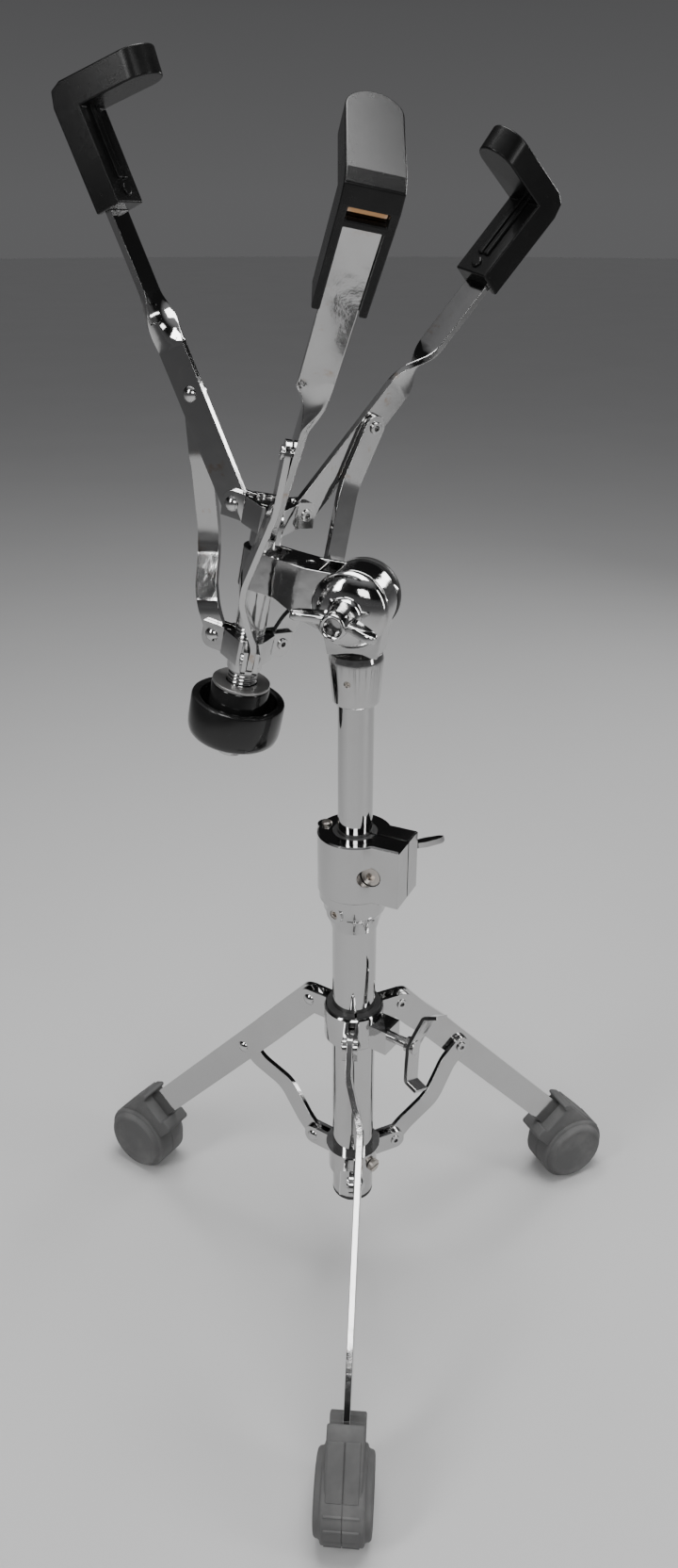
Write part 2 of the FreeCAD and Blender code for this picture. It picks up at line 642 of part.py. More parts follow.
def clamp_wing_nut():
    nut = wing_nut(3.0 + FIT, 6.2, 5.0, 13.0, 25.0, 19.0, 3.2, 6.9)
    nut.rotate(ORIGIN, X_AXIS, -90)
    nut.rotate(ORIGIN, Y_AXIS, -14)
    nut.translate(Vector(CLAMP_BOLT_REACH, CLAMP_LUG_HALF + JAW_ROOM, CLAMP_BOLT_Z))
    return clamp_frame(nut)


def clamp_set_screw():
    screw = rod(2.6, Vector(12.9, 0, 0), Vector(18.2, 0, 0))
    return set_screw_frame(screw.cut(along_x(hexagon(1.5, 4), Vector(16, 0, 0))))


def clamp_liner():
    """The split nylon bush that guides the upper tube, stepped where it enters the lower tube."""
    inner = UPPER_TUBE_R + FIT
    step = LOWER_TUBE_R - LOWER_TUBE_WALL
    sleeve = turned([(inner, CLAMP_BOTTOM), (step, CLAMP_BOTTOM), (step, LOWER_TUBE_TOP),
                     (CLAMP_LINER_R, LOWER_TUBE_TOP), (CLAMP_LINER_R, CLAMP_TOP), (inner, CLAMP_TOP)])
    slit = block((5, -0.7, CLAMP_BOTTOM - 1), (20, 0.7, CLAMP_TOP + 3))
    return clamp_frame(sleeve.cut(slit))


# ---------------------------------------------------------------- upper post and tilter

def upper_tube():
    return ring(UPPER_TUBE_R, UPPER_TUBE_R - UPPER_TUBE_WALL, UPPER_TUBE_BOTTOM, UPPER_TUBE_TOP)


def upper_tube_plug():
    """The nylon glide under the upper tube, which keeps it centred in the lower tube."""
    outer = LOWER_TUBE_R - LOWER_TUBE_WALL - FIT
    inner = UPPER_TUBE_R - UPPER_TUBE_WALL - FIT
    end = UPPER_TUBE_BOTTOM
    return turned([(0, end - 12), (outer - 0.8, end - 12), (outer, end - 11), (outer, end - FIT),
                   (inner, end - FIT), (inner, end + 9), (0, end + 9)])


def tilter_base():
    """The tapered socket that caps the upper tube."""
    body = turned([(UPPER_TUBE_R, BASE_BOTTOM), (11.6, BASE_BOTTOM), (12.2, BASE_BOTTOM + 0.8),
                   (14.2, BASE_TOP - 3), (13.4, BASE_TOP), (0, BASE_TOP), (0, UPPER_TUBE_TOP),
                   (UPPER_TUBE_R, UPPER_TUBE_TOP)])
    drill = spun(rod(1.9, Vector(8, 0, BASE_SCREW_Z), Vector(20, 0, BASE_SCREW_Z)), BASE_SCREW_AZIMUTH)
    return body.cut(drill)


def tilter_set_screw():
    screw = rod(1.9, Vector(UPPER_TUBE_R, 0, 0), Vector(12.3, 0, 0))
    screw = screw.cut(along_x(hexagon(1.0, 3), Vector(11, 0, 0)))
    screw.translate(Vector(0, 0, BASE_SCREW_Z))
    return spun(screw, BASE_SCREW_AZIMUTH)


def tilter_head():
    """The cast drum that the basket bracket straddles, with its neck down to the base."""
    drum = rod(HEAD_R, Vector(0, -HEAD_HALF, 0), Vector(0, HEAD_HALF, 0))
    neck = plate([(-13.0, BASE_TOP - TILT_Z), (13.0, BASE_TOP - TILT_Z), (16.5, -8), (-16.5, -8)],
                 -HEAD_HALF, HEAD_HALF)
    body = drum.fuse(neck).removeSplitter()
    return on_tilt(body.cut(hole(TILT_BOLT_R, 0, 0)))


def tilter_bolt():
    seat = Vector(0, BRACKET_OUTSIDE + GAP + 3.2, 0)
    shank = rod(TILT_BOLT_R, seat, Vector(0, -34.0, 0))
    return on_tilt(shank.fuse(along_y(hexagon(6.4, 5.0), seat)))


def tilter_rear_cap():
    """The dark domed cap over the bolt's head, behind the bracket."""
    face = BRACKET_OUTSIDE + GAP
    outer = turned([(0, 0), (19.0, 0), (19.0, 5.0), (17.0, 8.4), (12.0, 10.6), (0, 11.2)])
    room = turned([(0, -1), (TILT_BOLT_R, -1), (TILT_BOLT_R, 3.2), (7.4, 3.2), (7.4, 8.4), (0, 8.4)])
    cap = outer.cut(room)
    cap.rotate(ORIGIN, X_AXIS, -90)
    cap.translate(Vector(0, face, 0))
    return on_tilt(cap)


def tilter_dome_washer():
    """The polished domed disc under the wing nut."""
    face = BRACKET_OUTSIDE + GAP
    dome = turned([(TILT_BOLT_R, 0), (19.6, 0), (19.6, 2.2), (18.2, 4.4), (14.5, 6.8), (9.5, 8.4),
                   (TILT_BOLT_R, 8.8)])
    dome.rotate(ORIGIN, X_AXIS, 90)
    dome.translate(Vector(0, -face, 0))
    return on_tilt(dome)


def tilter_wing_nut():
    nut = wing_nut(TILT_BOLT_R + FIT, 7.6, 5.6, 20.0, 21.5, 21.0, 3.6, 4.0)
    nut.rotate(ORIGIN, X_AXIS, 90)
    nut.rotate(ORIGIN, Y_AXIS, 12)
    nut.translate(Vector(0, -(BRACKET_OUTSIDE + GAP + 8.8 + GAP), 0))
    return on_tilt(nut)


# ---------------------------------------------------------------- basket

def basket_post():
    """The threaded rod that carries both hubs, with a rolled thread at its lower end."""
    thread_top = LOWER_HUB_S + 12
    depth = 0.7
    outline = [(0, POST_TOP_S), (POST_R - 0.6, POST_TOP_S), (POST_R, POST_TOP_S - 0.6), (POST_R, thread_top)]
    turns = int((thread_top - POST_END_S - 2) / THREAD_PITCH)
    for i in range(turns):
        z = thread_top - i * THREAD_PITCH
        outline += [(POST_R - depth, z - THREAD_PITCH / 2), (POST_R, z - THREAD_PITCH)]
    outline += [(POST_R - 0.9, POST_END_S), (0, POST_END_S)]
    return on_basket(turned(outline))


def basket_bracket():
    """A sheet strap wrapped round the post, its two plates reaching to either side of the tilter."""
    wrap = POST_R + BRACKET_SHEET
    low, high = -7.0, 13.0
    far = POST_REACH + 17
    shell = rod(wrap, Vector(0, 0, low), Vector(0, 0, high)).cut(block((0, -40, -90), (90, 40, 90)))
    near_y, far_y = POST_R + BRACKET_SHEET / 2, BRACKET_INSIDE + BRACKET_SHEET / 2
    plates = [strap([(0, side * near_y), (14, side * near_y), (24, side * far_y), (far, side * far_y)],
                    5, BRACKET_SHEET, 60) for side in (1, -1)]
    trim = plate([(0, low), (12, low), (30, -14), (POST_REACH - 4, -17.5), (POST_REACH + 4, -17.5), (far, -8),
                  (far, 9), (POST_REACH + 6, 16.5), (26, high), (0, high)], -40, 40)
    web = block((12, -near_y, high - BRACKET_SHEET), (32, near_y, high))
    web = web.cut(rod(2.2, Vector(25, 0, 0), Vector(25, 0, 40)))
    body = shell.fuse(Part.Compound(plates).common(trim).Solids + [web])
    body = body.cut(rod(POST_R, Vector(0, 0, low - 1), Vector(0, 0, high + 1)))
    return on_basket(body.cut(hole(TILT_BOLT_R + FIT, POST_REACH, 0)).removeSplitter())


def spider(outline_of, gap, low, high):
    """A hub of folded sheet: three clevises, with a flat wall from each one's ear to the next one's."""
    ears = []
    walls = []
    middle = 60
    for turn in ARM_TURN:
        for ear in ear_pair(gap, outline_of, HUB_PIVOT_R, 0):
            ears.append(spun(ear, turn))
        walls.append(spun(block((8.9, -9.0, low), (11.1, 9.0, high)), turn + middle))
    core = rod(9.6, Vector(0, 0, low), Vector(0, 0, high))
    slots = [spun(block((POST_R + 0.2, -gap, low - 1), (30, gap, high + 1)), turn) for turn in ARM_TURN]
    shell = core.fuse(walls).common(rod(13.4, Vector(0, 0, low), Vector(0, 0, high)))
    body = shell.cut(Part.Compound(slots)).fuse(ears)
    return body.removeSplitter()


def upper_basket_hub():
    outline = rounded_outline(9.0, HUB_PIVOT_R + 5.2, -7.0, 6.6, 0, 5.0)
    body = spider(outline, EAR_GAP_ARM, -7.0, 6.6)
    body = body.cut(rod(POST_R, Vector(0, 0, -30), Vector(0, 0, 30)))
    body.translate(Vector(0, 0, UPPER_HUB_S))
    return on_basket(body)


def lower_basket_hub():
    outline = rounded_outline(9.0, HUB_PIVOT_R + 5.6, -7.4, 6.4, 5.5, 0)
    body = spider(outline, EAR_GAP_LINK, -7.4, 6.4)
    skirt = turned([(7, -13.2), (9.0, -13.2), (9.6, -7.4), (9.6, -5.0), (7, -5.0)])
    body = body.fuse(skirt).cut(rod(POST_R + FIT, Vector(0, 0, -30), Vector(0, 0, 30)))
    body.translate(Vector(0, 0, LOWER_HUB_S))
    return on_basket(body)


def spider_rivets(gap, height):
    reach = gap + EAR_THICK
    pins = []
    for turn in ARM_TURN:
        pin = rivet(RIVET_R, -reach, reach)
        pin.translate(Vector(HUB_PIVOT_R, 0, height))
        pins.append(on_basket(spun(pin, turn)))
    return Part.Compound(pins)


def knob_washer():
    return on_basket(ring(15.4, POST_R + 0.3, KNOB_TOP_S, KNOB_TOP_S + 1.6))


def knob_nut():
    """The steel insert that the post's thread runs in."""
    return on_basket(knob_pocket().cut(rod(POST_R + FIT, Vector(0, 0, -120), Vector(0, 0, 0))))


def knob_pocket():
    pocket = hexagon(KNOB_NUT_R, 12)
    pocket.translate(Vector(0, 0, KNOB_TOP_S - 14))
    return pocket


def basket_knob():
    """A deep ring joined to a hub by a web, moulded round the nut."""
    top = KNOB_TOP_S
    rim = top - 8.5
    base = top - 31.5
    body = turned([(POST_R + 0.3, top), (15.0, top), (15.6, top - 0.8), (15.6, base + 6), (20.6, base + 6),
                   (20.6, rim), (KNOB_R - 1.0, rim), (KNOB_R, rim - 1.4), (KNOB_R, base + 2),
                   (KNOB_R - 1.7, base), (POST_R + 0.3, base)])
    return on_basket(body.cut(knob_pocket()))


# ---------------------------------------------------------------- arms, links and grips

def on_arm(shape, turn):
    """From arm space (X up the arm from its pivot, Y across, Z towards the basket's middle) to the stand."""
    placed = shape.copy()
    placed.rotate(ORIGIN, Y_AXIS, -(90 - ARM_ANGLE))
    placed.translate(Vector(HUB_PIVOT_R, 0, UPPER_HUB_S))
    return on_basket(spun(placed, turn))


def arm():
    """A flat strap with a quarter twist, so that its upper run lies flat against the drum shell."""
    half_w, half_t = ARM_WIDTH / 2, ARM_THICK / 2
    lower = block((0, -half_t, -half_w), (TWIST_START, half_t, half_w))
    lower = lower.fuse(rod(half_w, Vector(0, -half_t, 0), Vector(0, half_t, 0))).removeSplitter()
    sections = []
    steps = 8
    for i in range(steps + 1):
        share = i / steps
        angle = math.radians(90 * (3 * share ** 2 - 2 * share ** 3))
        x = TWIST_START + (TWIST_END - TWIST_START) * share
        corners = []
        for y, z in ((half_t, half_w), (-half_t, half_w), (-half_t, -half_w), (half_t, -half_w)):
            corners.append(Vector(x, y * math.cos(angle) - z * math.sin(angle),
                                  y * math.sin(angle) + z * math.cos(angle)))
        sections.append(Part.makePolygon(corners + corners[:1]))
    twist = Part.makeLoft(sections, True, False)
    body = lower.fuse([twist, bent_strap(TWIST_END)])
    body = body.cut(hole(RIVET_R + FIT, 0, 0))
    return body.cut(hole(RIVET_R, ARM_TO_LINK, 0))


def pad_point(along, side):
    """A point of the arm's XZ plane, given along the padded finger and to its upper side."""
    angle = math.radians(PAD_ANGLE)
    return (ARM_CORNER + math.cos(angle) * along + math.sin(angle) * side,
            math.sin(angle) * along - math.cos(angle) * side)


def grip():
    """A moulded rubber grip: a channel round the strap and a padded finger over the drum's rim."""
    inner, outer = 9.0, -4.4
    outline = [(GRIP_START, outer), (ARM_CORNER - 3, outer), (ARM_CORNER + 3.6, -2.2),
               pad_point(3.0, PAD_TOP), pad_point(PAD_LENGTH, PAD_TOP), pad_point(PAD_LENGTH, PAD_UNDER),
               pad_point(inner + 0.8, PAD_UNDER), (GRIP_START, inner)]
    body = plate(outline, -GRIP_WIDTH / 2, GRIP_WIDTH / 2)
    return body.common(grip_plan()).cut(arm_channel())


def grip_plan():
    """The grip seen from above its finger: straight sides and a round end."""
    half = GRIP_WIDTH / 2
    finger = block((-40, -half, -40), (PAD_LENGTH - half, half, 40))
    finger = finger.fuse(rod(half, Vector(PAD_LENGTH - half, 0, -40), Vector(PAD_LENGTH - half, 0, 40)))
    finger.rotate(ORIGIN, Y_AXIS, -PAD_ANGLE)
    finger.translate(Vector(ARM_CORNER, 0, 0))
    return finger.fuse(block((GRIP_START - 1, -half, -20), (ARM_CORNER + 12, half, 12)))


def bent_strap(start):
    """The strap's flat run up to the corner and on into the finger."""
    bar = strap([(start, 0), (ARM_CORNER, 0), pad_point(STRAP_IN_PAD, 0)], CORNER_BEND, ARM_THICK, ARM_WIDTH)
    bar.rotate(ORIGIN, X_AXIS, 90)
    return bar


def arm_channel():
    """The strap's own room in the grip, open to the outside along the upright."""
    half = ARM_WIDTH / 2
    open_side = block((GRIP_START - 2, -half, -8), (ARM_CORNER - 12, half, 0))
    window = block((ARM_CORNER - 9, -half, -8), (ARM_CORNER - 4, half, 0))
    return bent_strap(GRIP_START - 2).fuse([open_side, window])


def arm_rivet():
    low = LINK_OFFSET - LINK_THICK / 2 - GAP
    pin = rivet(RIVET_R, low, ARM_THICK / 2)
    pin.translate(Vector(ARM_TO_LINK, 0, 0))
    return pin


def link_frame():
    """The link's length and its slope in the arm's plane, from the lower pivot to the arm's rivet."""
    angle = math.radians(ARM_ANGLE)
    top = (HUB_PIVOT_R + ARM_TO_LINK * math.sin(angle), UPPER_HUB_S + ARM_TO_LINK * math.cos(angle))
    run = top[0] - HUB_PIVOT_R
    rise = top[1] - LOWER_HUB_S
    return math.hypot(run, rise), math.degrees(math.atan2(rise, run))


def on_link(shape, turn):
    placed = shape.copy()
    placed.rotate(ORIGIN, Y_AXIS, -link_frame()[1])
    placed.translate(Vector(HUB_PIVOT_R, 0, LOWER_HUB_S))
    return on_basket(spun(placed, turn))


def link():
    """A flat strap that bows sideways and outward round the tilter bracket on its way to the arm."""
    length = link_frame()[0]
    path = [(-7, 0), (14, 0), (42, LINK_BOW), (52, LINK_BOW), (90, LINK_OFFSET), (length + 7, LINK_OFFSET)]
    bar = strap(path, 24, LINK_THICK, 40)
    half = LINK_WIDTH / 2
    bow = strap([(0, 0), (4, 0), (24, -LINK_OUTWARD), (44, -LINK_OUTWARD), (84, 0), (length, 0)],
                16, LINK_WIDTH, 60)
    bow.rotate(ORIGIN, X_AXIS, 90)
    ends = [rod(half, Vector(x, -30, 0), Vector(x, 30, 0)) for x in (0, length)]
    bar = bar.common(bow.fuse(ends))
    return bar.cut(link_slot()).cut(hole(RIVET_R + FIT, length, 0))


def link_slot():
    """The lower pivot hole, drawn out where the hub's straight travel leaves the link's true arc."""
    length, slope = link_frame()
    top_x = ARM_TO_LINK * math.sin(math.radians(ARM_ANGLE))
    top_z = ARM_TO_LINK * math.cos(math.radians(ARM_ANGLE))
    track = []
    for i in range(13):
        closing = ARM_CLOSES - (ARM_OPENS + ARM_CLOSES) * i / 12
        x, z = turned_point(top_x, top_z, -closing)
        drop = LOWER_HUB_S + HUB_PER_DEGREE * closing - UPPER_HUB_S
        x, z = turned_point(-x, drop - z, LINK_SHARE * closing + slope)
        track.append((x + length, z))
    return track_slot(RIVET_R + GAP, track)


# ---------------------------------------------------------------- write every node

export("lower_tube", lower_tube())
export("lower_tube_end_plug", lower_tube_end_plug())
export("brace_hub", brace_hub())
export("brace_hub_screw", brace_hub_screw())
export("brace_hub_rivets", Part.Compound(hub_rivets(EAR_GAP_BRACE, BRACE_PIVOT_R, BRACE_PIVOT_Z, in_plane)))
export("clamp_body", clamp_body())
export("clamp_liner", clamp_liner())
export("clamp_hinge_pin", clamp_hinge_pin())
export("clamp_set_screw", clamp_set_screw())
export("clamp_bolt", clamp_bolt())
export("clamp_jaw", clamp_jaw())
export("clamp_wing_nut", clamp_wing_nut())
export("leg_hub", leg_hub())
export("leg_hub_liner", leg_hub_liner())
export("leg_hub_nut", leg_hub_nut())
export("leg_hub_rivets", Part.Compound(hub_rivets(EAR_GAP_LEG, LEG_PIVOT_R, LEG_PIVOT_Z, in_plane)))
export("leg_wing_bolt", leg_wing_bolt())
export("upper_tube", upper_tube())
export("upper_tube_plug", upper_tube_plug())
export("tilter_base", tilter_base())
export("tilter_set_screw", tilter_set_screw())
export("tilter_head", tilter_head())
export("tilter_bolt", tilter_bolt())
export("tilter_rear_cap", tilter_rear_cap())
export("tilter_dome_washer", tilter_dome_washer())
export("tilter_wing_nut", tilter_wing_nut())
export("basket_post", basket_post())
export("basket_bracket", basket_bracket())
export("upper_basket_hub", upper_basket_hub())
export("upper_hub_rivets", spider_rivets(EAR_GAP_ARM, UPPER_HUB_S))
export("lower_basket_hub", lower_basket_hub())
export("lower_hub_rivets", spider_rivets(EAR_GAP_LINK, LOWER_HUB_S))
export("knob_washer", knob_washer())
export("knob_nut", knob_nut())
export("basket_knob", basket_knob())

one_leg, one_foot, one_brace, one_leg_rivet = leg(), foot(), brace(), leg_rivet()
one_arm, one_grip, one_link, one_arm_rivet = arm(), grip(), link(), arm_rivet()
for name, azimuth, turn in zip(LEG_NAMES, LEG_AZIMUTH, ARM_TURN):
    export("leg_" + name, on_leg(one_leg, azimuth))
    export("foot_" + name, flat_sole(on_leg(one_foot, azimuth)))
    export("leg_rivet_" + name, on_leg(one_leg_rivet, azimuth))
    export("brace_" + name, on_brace(one_brace, azimuth))
    export("arm_" + name, on_arm(one_arm, turn))
    export("grip_" + name, on_arm(one_grip, turn))
    export("arm_rivet_" + name, on_arm(one_arm_rivet, turn))
    export("link_" + name, on_link(one_link, turn))
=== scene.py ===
import json
import math

import bmesh
import bpy
from mathutils import Matrix, Vector


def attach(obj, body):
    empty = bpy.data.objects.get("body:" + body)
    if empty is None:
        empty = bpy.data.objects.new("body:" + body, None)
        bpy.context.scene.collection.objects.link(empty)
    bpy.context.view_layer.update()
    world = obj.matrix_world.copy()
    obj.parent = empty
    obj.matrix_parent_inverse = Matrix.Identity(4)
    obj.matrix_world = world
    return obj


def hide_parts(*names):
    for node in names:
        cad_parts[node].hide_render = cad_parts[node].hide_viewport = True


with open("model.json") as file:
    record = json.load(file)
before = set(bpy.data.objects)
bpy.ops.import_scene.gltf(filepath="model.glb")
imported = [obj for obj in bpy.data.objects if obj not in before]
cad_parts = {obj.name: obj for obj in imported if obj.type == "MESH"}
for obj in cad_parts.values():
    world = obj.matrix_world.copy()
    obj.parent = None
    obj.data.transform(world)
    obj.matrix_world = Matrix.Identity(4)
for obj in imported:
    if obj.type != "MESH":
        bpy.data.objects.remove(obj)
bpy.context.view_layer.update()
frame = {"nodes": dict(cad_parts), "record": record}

MM = 0.001
SIDES = ("front", "right", "left")
LEG_AZIMUTHS = (-94.5, 25.5, 145.5)
ARM_AZIMUTHS = (-65.3, 54.7, 174.7)

# Millimetres and degrees
LEG_PIVOT_RADIUS, LEG_PIVOT_HEIGHT = 30, 202.7
LEG_BELOW_LEVEL = 48.6
TILTER_HEIGHT = 457
TILTER_AZIMUTH = -17.7
TILTER_HALF_WIDTH = 11.4
BASKET_LEAN = 11.8
BASKET_REACH = 52
ARM_PIVOT_RADIUS, ARM_PIVOT_HEIGHT = 19.4, 30.6
ARM_ABOVE_LEVEL = 54.3


# ---------------------------------------------------------------- where the pieces stand

def turn(axis, degrees):
    return Matrix.Rotation(math.radians(degrees), 4, axis)


def shift(x, y, z):
    return Matrix.Translation((x, y, z))


FROM_MM = Matrix.Scale(MM, 4)
AT_TILTER = FROM_MM @ shift(0, 0, TILTER_HEIGHT) @ turn("Z", TILTER_AZIMUTH)
AT_BASKET = AT_TILTER @ turn("Y", BASKET_LEAN) @ shift(-BASKET_REACH, 0, 0)


def at_leg(azimuth):
    """X along the leg from its pivot, Y across it and Z outward."""
    pivot = shift(LEG_PIVOT_RADIUS, 0, LEG_PIVOT_HEIGHT)
    return FROM_MM @ turn("Z", azimuth) @ pivot @ turn("Y", LEG_BELOW_LEVEL)


def at_arm(azimuth):
    """X up the arm from its pivot, Y across it and Z towards the basket's middle."""
    pivot = shift(ARM_PIVOT_RADIUS, 0, ARM_PIVOT_HEIGHT)
    return AT_BASKET @ turn("Z", azimuth) @ pivot @ turn("Y", -ARM_ABOVE_LEVEL)


# ---------------------------------------------------------------- finishes

class Reading:
    """One output socket. Numbers read from sockets combine with Python's own operators."""

    def __init__(self, nodes, socket):
        self.nodes = nodes
        self.socket = socket

    def __add__(self, other):
        return self.nodes.maths("ADD", self, other)

    def __sub__(self, other):
        return self.nodes.maths("SUBTRACT", self, other)

    def __rsub__(self, other):
        return self.nodes.maths("SUBTRACT", other, self)

    def __mul__(self, other):
        return self.nodes.maths("MULTIPLY", self, other)

    __radd__ = __add__
    __rmul__ = __mul__


class Nodes:
    """The nodes of a material or a world, all leading to one shader."""

    def __init__(self, owner, shader):
        owner.use_nodes = True
        self.tree = owner.node_tree
        self.shader = self.tree.nodes[shader]

    def node(self, kind, settings=None, sockets=None, out=0):
        made = self.tree.nodes.new(kind)
        for name, value in (settings or {}).items():
            if name == "stops":
                ramp = made.color_ramp.elements
                while len(ramp) < len(value):
                    ramp.new(0.5)
                for stop, (position, colour) in zip(ramp, value):
                    stop.position = position
                    stop.color = colour
            else:
                setattr(made, name, value)
        for name, value in (sockets or {}).items():
            if isinstance(value, Reading):
                self.tree.links.new(value.socket, made.inputs[name])
            else:
                made.inputs[name].default_value = value
        return Reading(self, made.outputs[out])

    def maths(self, operation, first, second):
        return self.node("ShaderNodeMath", {"operation": operation}, {0: first, 1: second})

    def feed(self, **sockets):
        for name, value in sockets.items():
            self.tree.links.new(value.socket, self.shader.inputs[name.replace("_", " ")])


class Finish(Nodes):
    """A surface finish: one Principled shader and the nodes that vary it."""

    def __init__(self, name, **fixed):
        self.material = bpy.data.materials.new(name)
        super().__init__(self.material, "Principled BSDF")
        for socket, value in fixed.items():
            self.shader.inputs[socket.replace("_", " ")].default_value = value
        self.place = self.node("ShaderNodeTexCoord", out="Object")

    def noise(self, scale, detail=3.0, roughness=0.55, stretch=(1, 1, 1), offset=(0, 0, 0)):
        """Cloudy variation from 0 to 1; scale counts the clouds in a metre."""
        place = self.node("ShaderNodeMapping", None,
                          {"Vector": self.place, "Scale": stretch, "Location": offset})
        return self.node("ShaderNodeTexNoise", None,
                         {"Vector": place, "Scale": scale, "Detail": detail, "Roughness": roughness})

    def cells(self, scale):
        """Distance to the nearest of many scattered points."""
        return self.node("ShaderNodeTexVoronoi", None, {"Vector": self.place, "Scale": scale})

    def step(self, value, low, high):
        """0 at low, 1 at high and a smooth change between; low may be the larger."""
        return self.node("ShaderNodeMapRange", {"interpolation_type": "SMOOTHSTEP"},
                         {"Value": value, "From Min": low, "From Max": high, "To Min": 0.0, "To Max": 1.0})

    def near(self, point, reach):
        """1 round a point, fading to 0 at reach metres from it."""
        apart = self.node("ShaderNodeVectorMath", {"operation": "DISTANCE"},
                          {0: self.place, 1: point}, "Value")
        return self.step(apart, reach, reach * 0.6)

    def colour_mix(self, share, first, second):
        """The first colour where share is 0 and the second where it is 1."""
        return self.node("ShaderNodeMix", {"data_type": "RGBA"}, {0: share, 6: first, 7: second}, out=2)

    def relief(self, height, distance):
        """Turns a height into a bump; distance is in metres."""
        self.feed(Normal=self.node("ShaderNodeBump", None, {"Height": height, "Distance": distance}))


def grey(value, warmth=0.0):
    return (value * (1 + warmth), value, value * (1 - warmth), 1.0)


TARNISH = (0.34, 0.20, 0.10, 1.0)
# Painted warm reflection for the arm straps' bends, put in place of their highlight, and how far it
# spreads
PAINTED_BEND_REFLECTION = (0.42, 0.24, 0.12, 1.0)
PAINTED_REFLECTION_REACH = 12 * MM
ARM_CORNER = 188         # millimetres along the arm, under the padded finger, where a warm reflection is painted on the bend


def chrome(name, tone, smooth, smudge, ripple, tint=None, painted_reflection_at=()):
    """Chromium plate: handling smudges, fine dulling spots and a slight ripple from the metal below.
    A tint shows in patches, and a warm reflection is painted round each of the given points, on bends that
    would otherwise show a highlight."""
    finish = Finish(name, Metallic=1.0)
    clouds = finish.noise(38, 4, 0.6)
    streaks = finish.noise(140, 3, 0.5, (1, 1, 0.25))
    spots = finish.step(finish.cells(700), 0.16, 0.06)
    patches = finish.step(finish.noise(16, 3, 0.6, offset=(2, 5, 1)), 0.58, 0.72)
    dull = finish.step(clouds, 0.45, 0.75) * 0.6 + streaks * 0.4
    finish.feed(Roughness=smooth + smudge * dull + spots * patches * 0.25)
    body = finish.colour_mix(dull * 0.5, grey(tone), grey(tone * 0.86, 0.02))
    body = finish.colour_mix(spots * patches, body, grey(tone * 0.45, 0.12))
    if tint:
        warm = finish.step(finish.noise(55, 4, 0.7, offset=(4, 1, 7)), 0.60, 0.74)
        body = finish.colour_mix(warm * 0.55, body, tint)
    # painted warm reflection round each given point
    for point in painted_reflection_at:
        body = finish.colour_mix(finish.near(point, PAINTED_REFLECTION_REACH), body, PAINTED_BEND_REFLECTION)
    finish.feed(Base_Color=body)
    finish.relief(finish.noise(90, 2, 0.4) * 0.7 + finish.noise(900, 2, 0.5) * 0.05, ripple)
    return finish.material


def moulded(name, colour, worn, gloss, spread, grain, coat=0.0, dust=0.4, shine=0.35):
    """Moulded plastic or rubber: fine grain, dust that gathers in patches and pale scuffs."""
    finish = Finish(name, Coat_Weight=coat, Coat_Roughness=0.08, Specular_IOR_Level=shine)
    clouds = finish.noise(45, 5, 0.6)
    scuffs = finish.step(finish.noise(260, 4, 0.7, (1, 0.35, 1), (3, 3, 3)), 0.62, 0.78)
    specks = finish.step(finish.cells(900), 0.14, 0.05)
    settled = finish.step(finish.noise(24, 4, 0.65, offset=(7, 2, 5)), 0.42, 0.75)
    body = finish.colour_mix(settled * dust, colour, worn)
    body = finish.colour_mix(scuffs * 0.35 + specks * settled * 0.5, body, worn)
    finish.feed(Base_Color=body)
    finish.feed(Roughness=gloss + spread * clouds + scuffs * 0.12 + settled * dust * 0.12)
    finish.relief(finish.noise(1500, 3, 0.6) + clouds * 0.3 - scuffs * 0.4, grain)
    return finish.material


def machined(name, tone, warmth, smooth):
    """Zinc-plated or bare steel: short tool marks and a cloudy plate."""
    finish = Finish(name, Metallic=1.0)
    marks = finish.noise(1800, 3, 0.6, (1, 1, 0.1))
    clouds = finish.noise(130, 4, 0.6)
    finish.feed(Roughness=smooth + clouds * 0.18 + marks * 0.08)
    finish.feed(Base_Color=finish.colour_mix(clouds, grey(tone, warmth), grey(tone * 0.7, warmth * 1.6)))
    finish.relief(marks * 0.6 + clouds * 0.4, 0.00004)
    return finish.material


